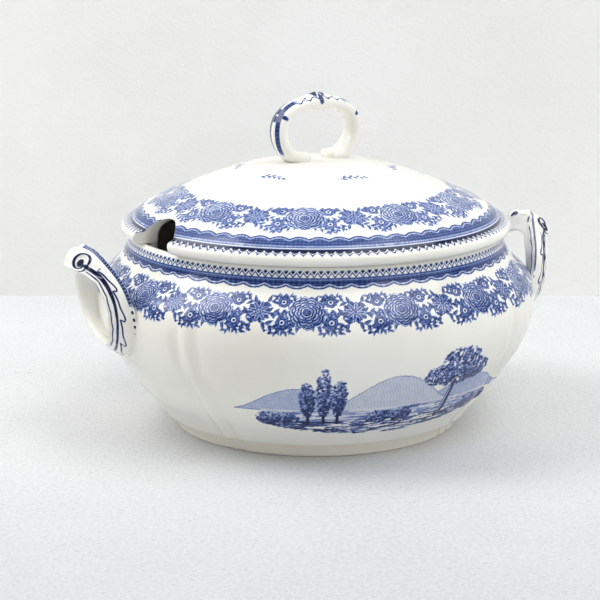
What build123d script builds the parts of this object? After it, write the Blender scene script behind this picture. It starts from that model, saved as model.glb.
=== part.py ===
from build123d import *
import math
import os

# ---------------------------------------------------------------------------
# Lidded soup tureen with two side handles and a ladle notch in the lid.
# Millimetres, +Z up.  Origin on the table, under the middle of the foot.
# +X runs from handle to handle.
# ---------------------------------------------------------------------------

# driving dimensions -----------------------------------------------------------
FOOT_R = 91.5         # outside of the foot where it stands
FOOT_TOP_R = 93.3     # outside of the foot where the bowl is luted on
FOOT_IN_R = 83.2      # inside of the foot
FOOT_H = 9.7          # height of the foot
RIM_Z = 123.2         # top of the bowl rim
RIM_R = 118.4         # outside of the bowl rim
WALL = 5.3            # wall of the bowl at the rim
GAP = 0.3             # clearance between the rim and the lid seat
BEAD_R = 123.4        # widest point of the lid bead
BEAD_H = 7.4          # height of the lid bead
LID_TOP = 168.5       # crown of the lid
LID_WALL = 4.9        # wall of the lid
FLANGE_R = 111.4      # outside of the locating flange under the lid
FLANGE_T = 4.4        # wall of the flange
FLANGE_Z = 115.3      # bottom of the flange
LID_TURN = 11.0       # the lid is set down turned this many degrees
NOTCH_DIR = 193.0     # direction of the ladle notch, degrees from +X
NOTCH_W = 40.5        # width of the notch at the lid edge
NOTCH_TOP = 140.8     # top of the arch of the notch
GRIP_TOP = 209.4      # top of the lid handle
GRIP_HALF = 30.4      # half of the outside width of the lid handle
GRIP_DEPTH = 11.4     # depth of the lid handle, front to back

SEAT_Z = RIM_Z + GAP
TURN = math.radians(LID_TURN)

# outside of the bowl, radius and height, foot joint to rim
BOWL_OUT = [
    (99.0, FOOT_H), (104.7, 17.6), (114.0, 28.2), (122.3, 40.5), (131.5, 54.6),
    (137.8, 70.4), (139.2, 83.6), (135.2, 96.8), (125.1, 107.4), (120.2, 115.3),
    (RIM_R, RIM_Z),
]
# inside of the bowl, floor to rim
BOWL_IN = [
    (0.0, 16.3), (52.8, 17.2), (86.2, 20.7), (105.2, 30.8), (116.6, 44.0),
    (126.3, 58.1), (131.8, 71.3), (133.2, 82.7), (129.4, 93.7), (120.6, 103.4),
    (115.3, 111.8), (RIM_R - WALL, RIM_Z),
]
# outside of the lid dome, bead shoulder to crown
LID_OUT = [
    (117.2, 131.1), (111.4, 137.3), (100.8, 143.4), (86.2, 149.6), (70.4, 155.8),
    (54.6, 161.4), (35.2, 166.0), (15.8, 168.2), (0.0, LID_TOP),
]
# inside of the lid dome, crown to seat
LID_IN = [
    (0.0, 163.7), (15.8, 163.3), (33.9, 161.2), (52.4, 157.0), (68.2, 151.4),
    (84.0, 145.1), (98.4, 138.9), (105.4, 134.3), (107.0, 128.5),
]

os.makedirs("parts", exist_ok=True)

# --- bowl: the thrown and lobed vessel, open at the top ----------------------
with BuildPart() as bowl:
    with BuildSketch(Plane.XZ) as bowl_sk:
        with BuildLine():
            l1 = Line((0, FOOT_H), BOWL_OUT[0])
            l2 = Spline(*BOWL_OUT, tangents=((0.65, 1.0), (-0.12, 1.0)))
            l3 = Line((RIM_R, RIM_Z), (RIM_R - WALL, RIM_Z))
            l4 = Spline(*list(reversed(BOWL_IN)), tangents=((0.02, -1.0), (-1.0, 0.0)))
            l5 = Line((0, BOWL_IN[0][1]), (0, FOOT_H))
        make_face()
    revolve(axis=Axis.Z)
    # the rim is wiped round, inside and out
    rim_edges = bowl.part.edges().filter_by(GeomType.CIRCLE).filter_by(
        lambda e: abs(e.center().Z - RIM_Z) < 0.01)
    fillet(rim_edges, radius=1.4)
bowl.part.label = "bowl"
export_step(bowl.part, "parts/bowl.step")

# --- foot ring: turned ring luted under the bowl -----------------------------
with BuildPart() as foot_ring:
    with BuildSketch(Plane.XZ) as foot_sk:
        with BuildLine():
            Polyline((FOOT_IN_R, FOOT_H), (FOOT_TOP_R, FOOT_H), (FOOT_TOP_R - 0.5, 6.6),
                     (FOOT_R + 0.2, 2.2), (FOOT_R, 0.0), (FOOT_IN_R + 2.6, 0.0),
                     (FOOT_IN_R, 3.5), close=True)
        make_face()
    revolve(axis=Axis.Z)
    foot_low = foot_ring.part.edges().filter_by(GeomType.CIRCLE).filter_by(
        lambda e: abs(e.center().Z) < 0.01)
    fillet(foot_low, radius=1.0)
foot_ring.part.label = "foot_ring"
export_step(foot_ring.part, "parts/foot_ring.step")


# side handle: a flared loop. The ridge is its wide edge by the bowl, the brow its
# narrower outer edge; each loop is given as half widths and heights, bottom to top
RIDGE_X, RIDGE_Z, RIDGE_LEAN = 138.4, 88.0, 18.3
RIDGE_LOOP = [(0.0, 53.0), (22.0, 55.4), (36.0, 64.5), (41.4, 78.0), (41.4, 92.0), (36.8, 103.6),
              (27.5, 112.0), (18.0, 117.8), (8.5, 122.0), (0.0, 123.4)]
BROW_X, BROW_Z, BROW_LEAN = 151.0, 88.0, 25.0
BROW_LOOP = [(0.0, 61.6), (16.0, 63.6), (27.6, 70.0), (33.4, 79.6), (34.8, 90.0), (32.2, 99.4),
             (26.0, 107.2), (17.4, 111.0), (8.6, 112.4), (0.0, 112.8)]
HOLE_LOOP = [(0.0, 64.4), (14.0, 66.0), (24.4, 71.6), (29.6, 79.6), (30.8, 89.0), (28.2, 96.6),
             (21.6, 103.4), (14.0, 107.4), (7.0, 109.0), (0.0, 109.4)]
EAR_ROUND = 1.1       # rounding of the handle edges


def ear_plane(side, x, lean, z):
    """Plane of one loop of a side handle, leaning outward at the top."""
    b = math.radians(lean)
    return Plane(origin=(side * x, 0, z), x_dir=(0, side, 0),
                 z_dir=(side * math.cos(b), 0, -math.sin(b)))


def loop_points(half, z, lean):
    """Closed outline from half widths and heights, in the coordinates of the leaning plane."""
    k = 1.0 / math.cos(math.radians(lean))
    right = [(y, (h - z) * k) for y, h in half]
    return right + [(-y, h) for y, h in reversed(right) if y > 0]


# --- side handles: pressed, flared loops luted to the shoulder ---------------
with BuildPart() as handle_right:
    with BuildSketch(ear_plane(1, RIDGE_X, RIDGE_LEAN, RIDGE_Z)) as ridge_sk_r:
        with BuildLine():
            Spline(*loop_points(RIDGE_LOOP, RIDGE_Z, RIDGE_LEAN), periodic=True)
        make_face()
    with BuildSketch(ear_plane(1, BROW_X, BROW_LEAN, BROW_Z)) as brow_sk_r:
        with BuildLine():
            Spline(*loop_points(BROW_LOOP, BROW_Z, BROW_LEAN), periodic=True)
        make_face()
    loft()
    # finger hole, straight through along X
    with BuildSketch(Plane(origin=(1 * 100.0, 0, 0), x_dir=(0, 1, 0), z_dir=(1, 0, 0))) as hole_sk_r:
        with BuildLine():
            Spline(*loop_points(HOLE_LOOP, 0.0, 0.0), periodic=True)
        make_face()
    extrude(amount=90.0, mode=Mode.SUBTRACT)
    fillet(handle_right.part.edges(), radius=EAR_ROUND)
    # the roots follow the outside of the bowl exactly
    with BuildSketch(Plane.XZ) as bowl_cut_r:
        with BuildLine():
            Line((0, FOOT_H), BOWL_OUT[0])
            Spline(*BOWL_OUT, tangents=((0.65, 1.0), (-0.12, 1.0)))
            Line((RIM_R, RIM_Z), (0, RIM_Z))
            Line((0, RIM_Z), (0, FOOT_H))
        make_face()
    revolve(axis=Axis.Z, mode=Mode.SUBTRACT)
handle_right.part.label = "handle_right"
export_step(handle_right.part, "parts/handle_right.step")

with BuildPart() as handle_left:
    with BuildSketch(ear_plane(-1, RIDGE_X, RIDGE_LEAN, RIDGE_Z)) as ridge_sk_l:
        with BuildLine():
            Spline(*loop_points(RIDGE_LOOP, RIDGE_Z, RIDGE_LEAN), periodic=True)
        make_face()
    with BuildSketch(ear_plane(-1, BROW_X, BROW_LEAN, BROW_Z)) as brow_sk_l:
        with BuildLine():
            Spline(*loop_points(BROW_LOOP, BROW_Z, BROW_LEAN), periodic=True)
        make_face()
    loft()
    # finger hole, straight through along X
    with BuildSketch(Plane(origin=(-1 * 100.0, 0, 0), x_dir=(0, -1, 0), z_dir=(-1, 0, 0))) as hole_sk_l:
        with BuildLine():
            Spline(*loop_points(HOLE_LOOP, 0.0, 0.0), periodic=True)
        make_face()
    extrude(amount=90.0, mode=Mode.SUBTRACT)
    fillet(handle_left.part.edges(), radius=EAR_ROUND)
    # the roots follow the outside of the bowl exactly
    with BuildSketch(Plane.XZ) as bowl_cut_l:
        with BuildLine():
            Line((0, FOOT_H), BOWL_OUT[0])
            Spline(*BOWL_OUT, tangents=((0.65, 1.0), (-0.12, 1.0)))
            Line((RIM_R, RIM_Z), (0, RIM_Z))
            Line((0, RIM_Z), (0, FOOT_H))
        make_face()
    revolve(axis=Axis.Z, mode=Mode.SUBTRACT)
handle_left.part.label = "handle_left"
export_step(handle_left.part, "parts/handle_left.step")


def notch_plane():
    """Upright plane across the ladle notch, just outside the lid dome centre."""
    a = math.radians(NOTCH_DIR)
    return Plane(origin=(81.0 * math.cos(a), 81.0 * math.sin(a), SEAT_Z),
                 x_dir=(-math.sin(a), math.cos(a), 0), z_dir=(math.cos(a), math.sin(a), 0))


def notch_outline():
    """Arch outline of the ladle notch, open below the flange."""
    h = NOTCH_W / 2.0
    top = NOTCH_TOP - SEAT_Z
    Polyline((-h, 3.0), (-h, -14.0), (h, -14.0), (h, 3.0))
    Spline((h, 3.0), (h * 0.88, top * 0.60), (h * 0.52, top * 0.92), (0, top),
           (-h * 0.52, top * 0.92), (-h * 0.88, top * 0.60), (-h, 3.0),
           tangents=((0, 1), (0, -1)))


# --- lid: domed cover with a rounded bead round its edge ---------------------
with BuildPart() as lid:
    with BuildSketch(Plane.XZ) as lid_sk:
        with BuildLine():
            Line((LID_IN[-1][0], SEAT_Z), (BEAD_R - 2.0, SEAT_Z))
            ThreePointArc((BEAD_R - 2.0, SEAT_Z), (BEAD_R, SEAT_Z + BEAD_H * 0.5),
                          (BEAD_R - 2.3, SEAT_Z + BEAD_H))
            Line((BEAD_R - 2.3, SEAT_Z + BEAD_H), LID_OUT[0])
            Spline(*LID_OUT, tangents=((-0.55, 1.0), (-1.0, 0.0)))
            Line((0, LID_TOP), (0, LID_IN[0][1]))
            Spline(*LID_IN, tangents=((1.0, 0.0), (0.05, -1.0)))
            Line(LID_IN[-1], (LID_IN[-1][0], SEAT_Z))
        make_face()
    revolve(axis=Axis.Z)
    # ladle notch: an arch cut through the edge of the lid
    with BuildSketch(notch_plane()) as notch_lid_sk:
        with BuildLine():
            notch_outline()
        make_face()
    extrude(amount=49.0, mode=Mode.SUBTRACT)
lid.part.label = "lid"
export_step(lid.part, "parts/lid.step")

# --- flange: ring under the lid that drops inside the bowl rim ---------------
with BuildPart() as lid_flange:
    with BuildSketch(Plane.XZ) as flange_sk:
        with BuildLine():
            Polyline((FLANGE_R - FLANGE_T, SEAT_Z), (FLANGE_R, SEAT_Z),
                     (FLANGE_R - 0.4, FLANGE_Z), (FLANGE_R - FLANGE_T, FLANGE_Z), close=True)
        make_face()
    revolve(axis=Axis.Z)
    flange_low = lid_flange.part.edges().filter_by(GeomType.CIRCLE).filter_by(
        lambda e: abs(e.center().Z - FLANGE_Z) < 0.01)
    fillet(flange_low, radius=1.2)
    with BuildSketch(notch_plane()) as notch_flange_sk:
        with BuildLine():
            notch_outline()
        make_face()
    extrude(amount=49.0, mode=Mode.SUBTRACT)
lid_flange.part.label = "lid_flange"
export_step(lid_flange.part, "parts/lid_flange.step")

# --- lid handle: open loop, both feet luted to the crown of the lid ----------
GRIP_OUT = [(19.4, 164.6), (25.2, 171.2), (29.4, 179.5), (GRIP_HALF, 187.9), (28.3, 196.2),
            (22.0, 203.8), (11.9, 208.4), (0.0, GRIP_TOP)]
GRIP_IN = [(6.2, 172.3), (13.2, 173.4), (19.4, 177.3), (22.5, 183.5), (21.6, 190.5),
           (16.3, 195.7), (7.0, 197.5), (0.0, 197.7)]
with BuildPart() as lid_handle:
    with BuildSketch(Plane(origin=(0, 0, 0),
                           x_dir=(math.cos(TURN), math.sin(TURN), 0),
                           z_dir=(math.sin(TURN), -math.cos(TURN), 0))) as grip_sk:
        with BuildLine():
            Line((6.9, GRIP_OUT[0][1]), GRIP_OUT[0])
            Spline(*(GRIP_OUT + [(-x, z) for x, z in reversed(GRIP_OUT[:-1])]))
            Line((-GRIP_OUT[0][0], GRIP_OUT[0][1]), (-6.9, GRIP_OUT[0][1]))
            Line((-6.9, GRIP_OUT[0][1]), (-GRIP_IN[0][0], GRIP_IN[0][1]))
            Spline(*([(-x, z) for x, z in GRIP_IN[:-1]] + list(reversed(GRIP_IN))))
            Line(GRIP_IN[0], (6.9, GRIP_OUT[0][1]))
        make_face()
    extrude(amount=GRIP_DEPTH / 2.0, both=True)
    fillet(lid_handle.part.edges().filter_by(GeomType.BSPLINE), radius=2.6)
    # the feet sit on the outside of the lid exactly
    with BuildSketch(Plane.XZ) as lid_cut:
        with BuildLine():
            Line((0, RIM_Z), (LID_OUT[0][0], RIM_Z))
            Line((LID_OUT[0][0], RIM_Z), LID_OUT[0])
            Spline(*LID_OUT, tangents=((-0.55, 1.0), (-1.0, 0.0)))
            Line((0, LID_TOP), (0, RIM_Z))
        make_face()
    revolve(axis=Axis.Z, mode=Mode.SUBTRACT)
lid_handle.part.label = "lid_handle"
export_step(lid_handle.part, "parts/lid_handle.step")
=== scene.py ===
import bpy, math
import numpy as np
from mathutils import Vector, Matrix


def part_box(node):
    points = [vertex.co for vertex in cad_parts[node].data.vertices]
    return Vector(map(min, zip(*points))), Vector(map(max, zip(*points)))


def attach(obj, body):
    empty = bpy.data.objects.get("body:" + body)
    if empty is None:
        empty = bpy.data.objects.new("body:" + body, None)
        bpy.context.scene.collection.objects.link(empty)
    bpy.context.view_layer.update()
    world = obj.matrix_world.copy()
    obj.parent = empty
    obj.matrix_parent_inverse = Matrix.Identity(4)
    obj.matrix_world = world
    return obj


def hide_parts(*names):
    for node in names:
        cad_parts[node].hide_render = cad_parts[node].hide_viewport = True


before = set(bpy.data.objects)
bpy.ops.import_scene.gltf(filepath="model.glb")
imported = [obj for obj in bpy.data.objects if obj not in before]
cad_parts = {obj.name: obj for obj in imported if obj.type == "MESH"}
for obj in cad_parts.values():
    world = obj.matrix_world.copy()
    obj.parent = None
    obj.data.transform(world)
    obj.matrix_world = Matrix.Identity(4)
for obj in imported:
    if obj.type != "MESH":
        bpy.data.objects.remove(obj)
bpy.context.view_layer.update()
PI = math.pi

# ------------------------------------------------------------------ sizes (mm)
def mmbox(n):
    a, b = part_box(n)
    return np.array(a) * 1000.0, np.array(b) * 1000.0

bowl_lo, bowl_hi = mmbox("bowl")
foot_lo, foot_hi = mmbox("foot_ring")
lid_lo, lid_hi = mmbox("lid")
fl_lo, fl_hi = mmbox("lid_flange")
grip_lo, grip_hi = mmbox("lid_handle")
earr_lo, earr_hi = mmbox("handle_right")
RIM_Z = bowl_hi[2]
FOOT_Z = foot_hi[2]
SEAT = lid_lo[2]
LID_TOP = lid_hi[2]
BEAD_R = lid_hi[0]
GRIP_TOP = grip_hi[2]
LID_TURN = math.radians(11.0)
NOTCH_DIR = math.radians(193.0)

BOWL_OUT = np.array([(99.0, FOOT_Z), (104.7, 17.6), (114.1, 28.2), (122.3, 40.5), (131.5, 54.6), (137.8, 70.4),
                     (139.2, 83.6), (135.2, 96.8), (125.1, 107.4), (120.2, 115.3), (118.4, RIM_Z)])
BOWL_IN = np.array([(0.0, 16.3), (52.8, 17.2), (86.2, 20.7), (105.2, 30.8), (116.6, 44.0), (126.3, 58.1),
                    (131.8, 71.3), (133.2, 82.7), (129.4, 93.7), (120.6, 103.4), (115.3, 111.8), (113.1, RIM_Z)])
LID_OUT = np.array([(117.2, 131.1), (111.4, 137.3), (100.9, 143.4), (86.2, 149.6), (70.4, 155.8), (54.6, 161.4),
                    (35.2, 166.0), (15.8, 168.2), (0.0, LID_TOP)])
LID_IN = np.array([(0.0, 163.7), (15.8, 163.3), (33.9, 161.2), (52.4, 157.0), (68.2, 151.4), (84.0, 145.1),
                   (98.4, 139.0), (105.4, 134.3), (107.0, 128.5)])


# ------------------------------------------------------------------ curves
def cubic(pts, closed=False, per=24, d0=None, d1=None):
    """Dense polyline of a cubic spline through the points, chord-length parameter."""
    P = np.asarray(pts, float)
    if closed:
        k = 3
        P = np.vstack([P[-k:], P, P[:k + 1]])
    n = len(P)
    h = np.linalg.norm(np.diff(P, axis=0), axis=1)
    t = np.r_[0, np.cumsum(h)]
    A = np.zeros((n, n)); R = np.zeros((n, P.shape[1]))
    for i in range(1, n - 1):
        A[i, i - 1] = h[i - 1]; A[i, i] = 2 * (h[i - 1] + h[i]); A[i, i + 1] = h[i]
        R[i] = 6 * ((P[i + 1] - P[i]) / h[i] - (P[i] - P[i - 1]) / h[i - 1])
    A[0, 0] = A[-1, -1] = 1.0
    if d0 is not None:
        d = np.asarray(d0, float); d = d / np.linalg.norm(d)
        A[0, 0] = 2 * h[0]; A[0, 1] = h[0]; R[0] = 6 * ((P[1] - P[0]) / h[0] - d)
    if d1 is not None:
        d = np.asarray(d1, float); d = d / np.linalg.norm(d)
        A[-1, -1] = 2 * h[-1]; A[-1, -2] = h[-1]; R[-1] = 6 * (d - (P[-1] - P[-2]) / h[-1])
    M = np.linalg.solve(A, R)
    out = []
    lo, hi = (3, n - 4) if closed else (0, n - 1)
    for i in range(lo, hi):
        u = np.linspace(0, 1, per, endpoint=False)[:, None]
        a, b = 1 - u, u
        out.append(a * P[i] + b * P[i + 1] + h[i] ** 2 / 6 * ((a ** 3 - a) * M[i] + (b ** 3 - b) * M[i + 1]))
    if not closed:
        out.append(P[-1:])
    return np.vstack(out)


def arclen(P):
    return np.r_[0, np.cumsum(np.linalg.norm(np.diff(P, axis=0), axis=1))]


def resample(P, n):
    s = arclen(P)
    q = np.linspace(0, s[-1], n)
    return np.stack([np.interp(q, s, P[:, k]) for k in range(P.shape[1])], -1)


def at(P, q):
    s = arclen(P)
    return np.stack([np.interp(q, s, P[:, k]) for k in range(P.shape[1])], -1)


def sstep(a, b, x):
    t = np.clip((np.asarray(x, float) - a) / (b - a), 0, 1)
    return t * t * (3 - 2 * t)


# ------------------------------------------------------------------ mesh helpers
def make_mesh(name, verts_mm, faces, attrs=None, smooth=True):
    me = bpy.data.meshes.new(name)
    V = np.asarray(verts_mm, np.float32) / 1000.0
    me.vertices.add(len(V))
    me.vertices.foreach_set("co", V.reshape(-1))
    F = faces
    counts = np.array([len(f) for f in F], np.int32) if not isinstance(F, np.ndarray) else np.full(len(F), F.shape[1], np.int32)
    flat = np.concatenate([np.asarray(f, np.int32) for f in F]) if not isinstance(F, np.ndarray) else F.reshape(-1).astype(np.int32)
    me.loops.add(len(flat))
    me.loops.foreach_set("vertex_index", flat)
    me.polygons.add(len(counts))
    starts = np.r_[0, np.cumsum(counts)[:-1]].astype(np.int32)
    me.polygons.foreach_set("loop_start", starts)
    me.polygons.foreach_set("loop_total", counts)
    me.update(calc_edges=True)
    me.validate()
    if smooth:
        me.polygons.foreach_set("use_smooth", np.ones(len(counts), bool))
    for k, a in (attrs or {}).items():
        at_ = me.attributes.new(k, "FLOAT", "POINT")
        at_.data.foreach_set("value", np.asarray(a, np.float32).reshape(-1))
    me.update()
    ob = bpy.data.objects.new(name, me)
    bpy.context.scene.collection.objects.link(ob)
    return ob


def grid_faces(nr, nc, wrap_c=True, wrap_r=False, flip=False):
    """Quads of an nr x nc vertex grid (row major)."""
    ri = np.arange(nr if wrap_r else nr - 1)
    ci = np.arange(nc if wrap_c else nc - 1)
    R, C = np.meshgrid(ri, ci, indexing="ij")
    R2, C2 = (R + 1) % nr, (C + 1) % nc
    a, b, c, d = R * nc + C, R * nc + C2, R2 * nc + C2, R2 * nc + C
    q = np.stack([a, b, c, d], -1).reshape(-1, 4)
    return q[:, ::-1].copy() if flip else q

# ------------------------------------------------------------------ bowl
TAU = 2 * PI
CREASES = [math.radians(a) for a in (215.0, 310.0, 35.0, 130.0)]


def crease_depth(phi, z):
    """Soft vertical flutes between the panels: two shallow valleys with a ridge between, mm inwards."""
    d = np.zeros(np.broadcast(phi, z).shape)
    for c in CREASES:
        a = np.degrees((phi - c + PI) % TAU - PI)
        d = d + 1.25 * np.exp(-((a - 3.0) / 1.9) ** 2) + 1.25 * np.exp(-((a + 3.0) / 1.9) ** 2) - 0.55 * np.exp(-(a / 1.5) ** 2)
    fade = sstep(104.0, 82.0, z) * (1 - 0.35 * sstep(22.0, 10.0, z))
    return d * fade


def panel_swell(phi, z):
    """The panels between the flutes are very slightly flattened."""
    d = np.zeros(np.broadcast(phi, z).shape)
    for k in range(4):
        c = CREASES[k]
        a = np.degrees((phi - c + PI) % TAU - PI)
        d = d + 0.9 * np.exp(-(np.abs(a) / 16.0) ** 2)
    return d * sstep(108.0, 84.0, z) * sstep(9.0, 26.0, z)


def radial(phi, z):
    return panel_swell(phi, z) - crease_depth(phi, z)


NB = 1760           # columns round the bowl
SB = 0.5            # row spacing on printed faces

prof_out = cubic(BOWL_OUT, d0=(0.65, 1.0), d1=(-0.12, 1.0))[::-1]     # rim -> foot
prof_in = cubic(BOWL_IN, d0=(1.0, 0.0), d1=(-0.02, 1.0))[::-1]        # rim -> floor centre
# rounded lip, outside to inside
ro, rr = prof_out[0], prof_in[0]
lip_c = np.array([(ro[0] + rr[0]) / 2, RIM_Z - 2.6])
lip_t = np.linspace(0, PI, 14)[1:-1]
lip = np.stack([lip_c[0] + (ro[0] - rr[0]) / 2 * np.cos(lip_t), lip_c[1] + 2.5 * np.sin(lip_t)], -1)
po = prof_out[prof_out[:, 1] < RIM_Z - 2.7]
pi_ = prof_in[prof_in[:, 1] < RIM_Z - 2.7]
PO = resample(po, int(arclen(po)[-1] / SB) + 1)
SO = arclen(PO) + 2.7                      # arc length down from the rim
PI_IN = resample(pi_, 90)
PI_IN = PI_IN[:-1]
under = np.stack([np.linspace(PO[-1][0], 0.6, 26)[1:], np.full(25, FOOT_Z)], -1)
bprof = np.vstack([under[::-1], PO[::-1], lip, PI_IN])       # centre below -> foot -> up outside -> lip -> inside floor
n_under, n_out = len(under), len(PO)
phiB = np.linspace(0, TAU, NB, endpoint=False) + PI / 2       # seam at the back
zz = bprof[:, 1][:, None]
rad = bprof[:, 0][:, None] + np.zeros(NB)[None, :]
mask_out = np.zeros(len(bprof)); mask_out[n_under:n_under + n_out] = 1
mask_in = np.zeros(len(bprof)); mask_in[n_under + n_out + len(lip):] = 1
disp = radial(phiB[None, :], zz)
rad = rad + disp * (mask_out + 0.85 * mask_in * sstep(18, 30, bprof[:, 1]))[:, None]
XB = np.stack([rad * np.cos(phiB), rad * np.sin(phiB), zz + 0 * rad], -1)
nrB = len(bprof)
vb = XB.reshape(-1, 3)
fb = grid_faces(nrB, NB, wrap_c=True)
# pole caps
vb = np.vstack([vb, [[0, 0, FOOT_Z], [0, 0, bprof[-1][1]]]])
c0, c1 = len(vb) - 2, len(vb) - 1
ci = np.arange(NB)
tri0 = np.stack([ci, np.full(NB, c0), (ci + 1) % NB], -1)
base = (nrB - 1) * NB
tri1 = np.stack([base + ci, base + (ci + 1) % NB, np.full(NB, c1)], -1)
BOWL = dict(verts=vb, quads=fb, tris=np.vstack([tri0, tri1]), rows=nrB, cols=NB, first=n_under, nout=n_out)


def join_faces(q, t):
    return [list(x) for x in q.tolist()] + [list(x) for x in t.tolist()]


def fast_mesh(name, verts_mm, quads, tris, attrs):
    """Mesh of quads and triangles without a Python loop over faces."""
    me = bpy.data.meshes.new(name)
    V = np.asarray(verts_mm, np.float32) / 1000.0
    me.vertices.add(len(V)); me.vertices.foreach_set("co", V.reshape(-1))
    flat = np.concatenate([quads.reshape(-1), tris.reshape(-1)]).astype(np.int32) if len(tris) else quads.reshape(-1).astype(np.int32)
    counts = np.r_[np.full(len(quads), 4), np.full(len(tris), 3)].astype(np.int32)
    me.loops.add(len(flat)); me.loops.foreach_set("vertex_index", flat)
    me.polygons.add(len(counts))
    me.polygons.foreach_set("loop_start", np.r_[0, np.cumsum(counts)[:-1]].astype(np.int32))
    me.polygons.foreach_set("loop_total", counts)
    me.polygons.foreach_set("use_smooth", np.ones(len(counts), bool))
    me.update(calc_edges=True)
    for k, a in attrs.items():
        x = me.attributes.new(k, "FLOAT", "POINT")
        x.data.foreach_set("value", np.asarray(a, np.float32).reshape(-1))
    ob = bpy.data.objects.new(name, me)
    bpy.context.scene.collection.objects.link(ob)
    return ob


# ------------------------------------------------------------------ lid
lid_dome = cubic(LID_OUT, d0=(-0.55, 1.0), d1=(-1.0, 0.0))[::-1]          # crown -> bead shoulder
bt = np.linspace(math.radians(100), math.radians(-84), 26)
bead_c = np.array([BEAD_R - 3.7, SEAT + 3.85])
bead = np.stack([bead_c[0] + 3.7 * np.cos(bt) * 1.0, bead_c[1] + 3.8 * np.sin(bt)], -1)
neck = np.array([[117.35, 131.15], [118.0, 130.85], [118.6, 131.05]])
LO = np.vstack([lid_dome[:-1], neck[:1], bead])
LO = LO[np.r_[True, np.linalg.norm(np.diff(LO, axis=0), axis=1) > 0.02]]
LI = cubic(LID_IN, d0=(1.0, 0.0), d1=(0.05, -1.0))                       # crown -> edge inside
LI = np.vstack([LI, [[107.0, SEAT]]])
sLO = arclen(LO)
S_DOME = arclen(lid_dome)[-1]
S_END = sLO[-1]
D0 = math.radians(9.7)                       # half width of the notch
A_TOP = 140.6


def cols_lid():
    n = 1560
    base_ = np.linspace(0, TAU, n, endpoint=False) + NOTCH_DIR + PI
    d = (base_ - NOTCH_DIR + PI) % TAU - PI
    keep = np.abs(d) > D0 * 1.03
    tau = np.linspace(0, PI, 220)
    inner = NOTCH_DIR + D0 * np.cos(tau)
    allc = np.concatenate([base_[keep] % TAU, inner % TAU])
    return np.sort(allc)


phiL = cols_lid()
NL = len(phiL)
dL = (phiL - NOTCH_DIR + PI) % TAU - PI


def arch(d):
    """Height of the notch roof over angle off the notch direction."""
    x = np.clip(np.abs(d) / D0, 0, 1)
    lean = 1 + 0.0 * d
    return SEAT + (A_TOP - SEAT) * (1 - x ** 2.3) ** (1 / 1.9) * lean


A = arch(dL)
zLO = np.minimum.accumulate(LO[:, 1] - np.arange(len(LO)) * 1e-7)
zLI = np.minimum.accumulate(LI[:, 1] - np.arange(len(LI)) * 1e-7)
sLI = arclen(LI)
s_end = np.interp(-A, -zLO, sLO)
s_end = np.where(np.abs(dL) < D0, s_end, S_END)
si_end = np.interp(-A, -zLI, sLI)
si_end = np.where(np.abs(dL) < D0, si_end, sLI[-1])
nro = 262
nri, nrw = ((64, 12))
# outer rows: even spacing from the crown to the edge
tq = np.linspace(0, 1, nro)
tq = tq * 0.86 + 0.14 * tq ** 0.5 * 0 + 0.14 * tq
ro_ = np.outer(tq, s_end)
Ro = np.interp(ro_, sLO, LO[:, 0]); Zo = np.interp(ro_, sLO, LO[:, 1])
ti = np.linspace(1, 0, nri)
ri_ = np.outer(ti, si_end)
Ri = np.interp(ri_, sLI, LI[:, 0]); Zi = np.interp(ri_, sLI, LI[:, 1])
tw = np.linspace(0, 1, nrw + 2)[1:-1][:, None]
Rw = Ro[-1][None, :] * (1 - tw) + Ri[0][None, :] * tw
Zw = Zo[-1][None, :] * (1 - tw) + Zi[0][None, :] * tw
innotch = (np.abs(dL) < D0)[None, :]
Zw = Zw - np.where(innotch, 0.55 * np.sin(PI * tw) ** 0.6, 0.0)
Ro[0] = 0.5; Ri[-1] = 0.5
RL = np.vstack([Ro, Rw, Ri]); ZL = np.vstack([Zo, Zw, Zi])
SL = np.vstack([ro_, np.full(Rw.shape, -50.0), np.full(Ri.shape, -50.0)])
XL = np.stack([RL * np.cos(phiL), RL * np.sin(phiL), ZL], -1)
nrL = len(RL)
vl = XL.reshape(-1, 3)
fl = grid_faces(nrL, NL, wrap_c=True, flip=True)
vl = np.vstack([vl, [[0, 0, LID_TOP], [0, 0, LI[0][1]]]])
cl = np.arange(NL)
t0 = np.stack([cl, (cl + 1) % NL, np.full(NL, len(vl) - 2)], -1)
bl = (nrL - 1) * NL
t1 = np.stack([bl + (cl + 1) % NL, bl + cl, np.full(NL, len(vl) - 1)], -1)
LIDG = dict(verts=vl, quads=fl, tris=np.vstack([t0, t1]), rows=nrL, cols=NL, nout=nro)

# ------------------------------------------------------------------ flange under the lid
fl_in, fl_out = fl_hi[0] - 4.4, fl_hi[0]
fz0, fz1 = fl_lo[2], fl_hi[2]
fp = np.array([(fl_in, fz1 + 0.4), (fl_in, fz0 + 2.0), (fl_in + 0.5, fz0 + 0.6), (fl_in + 1.8, fz0), (fl_out - 2.2, fz0),
               (fl_out - 0.8, fz0 + 0.6), (fl_out - 0.4, fz0 + 2.0), (fl_out, fz1 + 0.4)])
fp = resample(fp, 30)
span = TAU - 2 * (D0 + 0.006)
pf = NOTCH_DIR + D0 + 0.006 + np.linspace(0, span, 360)
XF = np.stack([fp[:, 0][:, None] * np.cos(pf), fp[:, 0][:, None] * np.sin(pf), fp[:, 1][:, None] + 0 * pf[None, :]], -1)
vf = XF.reshape(-1, 3)
ff = grid_faces(30, 360, wrap_c=False, flip=False)
endA = [i * 360 for i in range(30)]; endB = [i * 360 + 359 for i in range(30)]

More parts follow.
